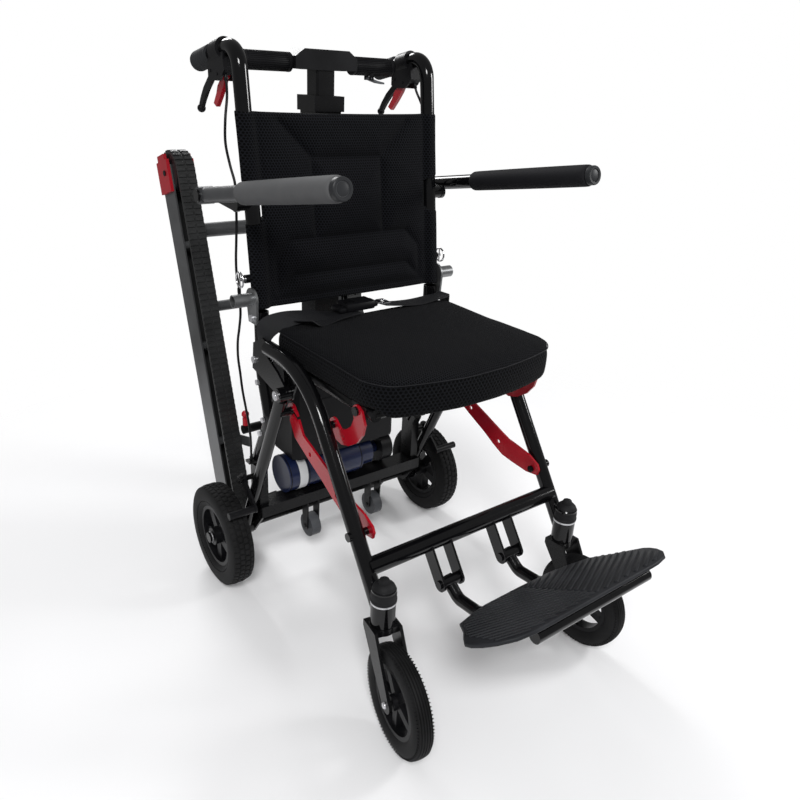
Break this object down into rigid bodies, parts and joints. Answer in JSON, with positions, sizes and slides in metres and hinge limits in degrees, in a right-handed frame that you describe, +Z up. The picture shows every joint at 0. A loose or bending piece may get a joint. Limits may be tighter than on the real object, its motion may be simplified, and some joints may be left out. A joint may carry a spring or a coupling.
{
  "type": "stair climbing wheelchair",
  "caption": "Folding attendant wheelchair with a fold-out crawler track unit, padded seat and back, flip-up armrests and a lifting handle.",
  "frame": {"origin": "centre of the footprint on the floor", "axes": "+Z up, the front faces -Y, +X is the user's left"},
  "size_m": [0.558, 1.0242, 0.968],
  "materials": {
    "gloss_black_paint": "gloss",
    "grey_aluminium": "satin",
    "navy_paint": "gloss",
    "black_plastic": "matte",
    "grey_plastic": "satin",
    "bright_steel": "satin",
    "chrome_steel": "gloss",
    "red_paint": "gloss",
    "red_plastic": "gloss",
    "black_rubber": "matte",
    "tyre_rubber": "matte",
    "seat_fabric": "matte",
    "belt_fabric": "satin"
  },
  "bodies": {
    "rear_frame": {"rear_legs": "gloss_black_paint", "lower_canes": "gloss_black_paint", "hinge_brackets": "grey_aluminium", "undercarriage": "gloss_black_paint", "drive_motor": "navy_paint", "drive_case": "black_plastic", "battery_case": "black_plastic", "handle_post": "gloss_black_paint", "frame_bolts": "bright_steel", "brake_cables": "black_rubber"},
    "crawler_unit": {"track_rails": "grey_aluminium", "track_belts": "black_rubber", "end_caps": "red_plastic"},
    "drive_shaft_set": {"drive_shaft": "bright_steel"},
    "idler_set": {"track_idlers": "bright_steel"},
    "release_knob_right_body": {"release_knob_right": "red_plastic"},
    "release_knob_left_body": {"release_knob_left": "red_plastic"},
    "rear_wheel_right": {"rear_tyre_right": "tyre_rubber", "rear_hub_right": "black_plastic"},
    "rear_wheel_left": {"rear_tyre_left": "tyre_rubber", "rear_hub_left": "black_plastic"},
    "guide_wheel_right_body": {"guide_wheel_right": "grey_plastic"},
    "guide_wheel_left_body": {"guide_wheel_left": "grey_plastic"},
    "brake_arm_right_body": {"brake_arm_right": "black_plastic"},
    "brake_arm_left_body": {"brake_arm_left": "black_plastic"},
    "front_frame": {"front_legs": "gloss_black_paint", "front_cross_tube": "gloss_black_paint"},
    "caster_right": {"caster_fork_right": "gloss_black_paint"},
    "caster_left": {"caster_fork_left": "gloss_black_paint"},
    "front_wheel_right": {"front_tyre_right": "tyre_rubber", "front_hub_right": "black_plastic"},
    "front_wheel_left": {"front_tyre_left": "tyre_rubber", "front_hub_left": "black_plastic"},
    "braces": {"fold_braces": "red_paint"},
    "hooks": {"hook_links": "red_paint"},
    "footrest": {"footrest_frame": "gloss_black_paint", "footplate": "black_rubber"},
    "seat": {"seat_frame": "grey_aluminium", "seat_cushion": "seat_fabric", "seat_belt": "belt_fabric"},
    "buckle_button_body": {"buckle_button": "red_plastic"},
    "back": {"back_canes": "gloss_black_paint", "backrest": "seat_fabric", "push_grips": "black_rubber", "brake_perches": "black_plastic", "back_cables": "black_rubber"},
    "armrest_right": {"armrest_tube_right": "gloss_black_paint", "armrest_pad_right": "black_rubber"},
    "armrest_left": {"armrest_tube_left": "gloss_black_paint", "armrest_pad_left": "black_rubber"},
    "brake_lever_right_body": {"brake_lever_right": "black_plastic"},
    "brake_lever_left_body": {"brake_lever_left": "black_plastic"},
    "lock_lever_right_body": {"lock_lever_right": "red_paint"},
    "lock_lever_left_body": {"lock_lever_left": "red_paint"},
    "handle": {"handle_stem": "gloss_black_paint", "handle_grips": "black_rubber", "handle_head": "black_plastic"},
    "drive_trigger_body": {"drive_trigger": "grey_plastic"},
    "ring_pin_right_body": {"ring_pin_right": "chrome_steel"},
    "ring_pin_left_body": {"ring_pin_left": "chrome_steel"}
  },
  "joints": [
    {"name": "front_fold", "type": "hinge", "parent": "rear_frame", "child": "front_frame", "pos_m": [0, 0.0055, 0.443], "axis": [1, 0, 0], "range_deg": [0, 30]},
    {"name": "seat_fold", "type": "hinge", "parent": "rear_frame", "child": "seat", "pos_m": [0, 0.0775, 0.48], "axis": [1, 0, 0], "range_deg": [0, 17]},
    {"name": "brace_swing", "type": "hinge", "parent": "front_frame", "child": "braces", "pos_m": [0, -0.2125, 0.296], "axis": [1, 0, 0], "range_deg": [0, 2.3]},
    {"name": "hook_swing", "type": "hinge", "parent": "front_frame", "child": "hooks", "pos_m": [0, -0.1155, 0.434], "axis": [1, 0, 0], "range_deg": [-18.5, 0]},
    {"name": "caster_swivel_right", "type": "hinge", "parent": "front_frame", "child": "caster_right", "pos_m": [-0.198, -0.2845, 0.183], "axis": [0, 0, 1], "continuous": true},
    {"name": "caster_swivel_left", "type": "hinge", "parent": "front_frame", "child": "caster_left", "pos_m": [0.198, -0.2845, 0.183], "axis": [0, 0, 1], "continuous": true},
    {"name": "front_roll_right", "type": "hinge", "parent": "caster_right", "child": "front_wheel_right", "pos_m": [-0.2077, -0.34574, 0.085], "axis": [0.9877, -0.1564, 0], "continuous": true},
    {"name": "front_roll_left", "type": "hinge", "parent": "caster_left", "child": "front_wheel_left", "pos_m": [0.20125, -0.34641, 0.085], "axis": [0.9986, 0.0523, 0], "continuous": true},
    {"name": "rear_roll_right", "type": "hinge", "parent": "rear_frame", "child": "rear_wheel_right", "pos_m": [-0.25, 0.1675, 0.1], "axis": [1, 0, 0], "continuous": true},
    {"name": "rear_roll_left", "type": "hinge", "parent": "rear_frame", "child": "rear_wheel_left", "pos_m": [0.25, 0.1675, 0.1], "axis": [1, 0, 0], "continuous": true},
    {"name": "guide_roll_right", "type": "hinge", "parent": "rear_frame", "child": "guide_wheel_right_body", "pos_m": [-0.076, 0.1285, 0.081], "axis": [1, 0, 0], "continuous": true},
    {"name": "guide_roll_left", "type": "hinge", "parent": "rear_frame", "child": "guide_wheel_left_body", "pos_m": [0.076, 0.1285, 0.081], "axis": [1, 0, 0], "continuous": true},
    {"name": "footrest_flip", "type": "hinge", "parent": "front_frame", "child": "footrest", "pos_m": [0, -0.2825, 0.2], "axis": [1, 0, 0], "range_deg": [-80, 0]},
    {"name": "back_fold", "type": "hinge", "parent": "rear_frame", "child": "back", "pos_m": [0, 0.1105, 0.575], "axis": [1, 0, 0], "range_deg": [0, 80]},
    {"name": "armrest_flip_right", "type": "hinge", "parent": "back", "child": "armrest_right", "pos_m": [-0.232, 0.1975, 0.732], "axis": [1, 0, 0], "range_deg": [-100, 0]},
    {"name": "armrest_flip_left", "type": "hinge", "parent": "back", "child": "armrest_left", "pos_m": [0.232, 0.1975, 0.732], "axis": [1, 0, 0], "range_deg": [-100, 0]},
    {"name": "brake_squeeze_right", "type": "hinge", "parent": "back", "child": "brake_lever_right_body", "pos_m": [-0.187, 0.2375, 0.918], "axis": [1, 0, 0], "range_deg": [0, 18], "stiffness_Nm_per_rad": 0.5},
    {"name": "brake_squeeze_left", "type": "hinge", "parent": "back", "child": "brake_lever_left_body", "pos_m": [0.187, 0.2375, 0.918], "axis": [1, 0, 0], "range_deg": [0, 18], "stiffness_Nm_per_rad": 0.5},
    {"name": "lock_flip_right", "type": "hinge", "parent": "back", "child": "lock_lever_right_body", "pos_m": [-0.1785, 0.2125, 0.914], "axis": [1, 0, 0], "range_deg": [0, 30]},
    {"name": "lock_flip_left", "type": "hinge", "parent": "back", "child": "lock_lever_left_body", "pos_m": [0.1785, 0.2125, 0.914], "axis": [1, 0, 0], "range_deg": [0, 30]},
    {"name": "tyre_brake_right", "type": "hinge", "parent": "rear_frame", "child": "brake_arm_right_body", "pos_m": [-0.217, 0.1375, 0.225], "axis": [1, 0, 0], "range_deg": [0, 3.1]},
    {"name": "tyre_brake_left", "type": "hinge", "parent": "rear_frame", "child": "brake_arm_left_body", "pos_m": [0.217, 0.1375, 0.225], "axis": [1, 0, 0], "range_deg": [0, 3.1]},
    {"name": "handle_slide", "type": "slide", "parent": "rear_frame", "child": "handle", "axis": [0, 0, 1], "range_m": [0, 0.25]},
    {"name": "trigger_pull", "type": "hinge", "parent": "handle", "child": "drive_trigger_body", "pos_m": [0.101, 0.2205, 0.9179], "axis": [0, 1, 0], "range_deg": [-8, 0], "stiffness_Nm_per_rad": 0.05},
    {"name": "crawler_swing", "type": "hinge", "parent": "rear_frame", "child": "crawler_unit", "pos_m": [0, 0.2735, 0.062], "axis": [1, 0, 0], "range_deg": [-35, 0]},
    {"name": "drive_turn", "type": "hinge", "parent": "rear_frame", "child": "drive_shaft_set", "pos_m": [0, 0.2735, 0.062], "axis": [1, 0, 0], "continuous": true},
    {"name": "idler_turn", "type": "hinge", "parent": "crawler_unit", "child": "idler_set", "pos_m": [0, 0.46824, 0.73228], "axis": [1, 0, 0], "continuous": true},
    {"name": "knob_pull_right", "type": "slide", "parent": "rear_frame", "child": "release_knob_right_body", "axis": [0, 0, 1], "range_m": [0, 0.008], "stiffness_N_per_m": 300},
    {"name": "knob_pull_left", "type": "slide", "parent": "rear_frame", "child": "release_knob_left_body", "axis": [0, 0, 1], "range_m": [0, 0.008], "stiffness_N_per_m": 300},
    {"name": "ring_pin_pull_right", "type": "slide", "parent": "back", "child": "ring_pin_right_body", "axis": [-1, 0, 0], "range_m": [0, 0.01], "stiffness_N_per_m": 200},
    {"name": "ring_pin_pull_left", "type": "slide", "parent": "back", "child": "ring_pin_left_body", "axis": [1, 0, 0], "range_m": [0, 0.01], "stiffness_N_per_m": 200},
    {"name": "buckle_press", "type": "slide", "parent": "seat", "child": "buckle_button_body", "axis": [0, 0, -1], "range_m": [0, 0.001], "stiffness_N_per_m": 250}
  ],
  "couplings": [
    {"joint": "seat_fold", "follows": "front_fold", "ratio": 0.56},
    {"joint": "brace_swing", "follows": "front_fold", "ratio": 0.07},
    {"joint": "hook_swing", "follows": "front_fold", "ratio": -0.61},
    {"joint": "tyre_brake_right", "follows": "brake_squeeze_right", "ratio": 0.16667},
    {"joint": "tyre_brake_left", "follows": "brake_squeeze_left", "ratio": 0.16667},
    {"joint": "idler_turn", "follows": "drive_turn", "ratio": 1}
  ]
}
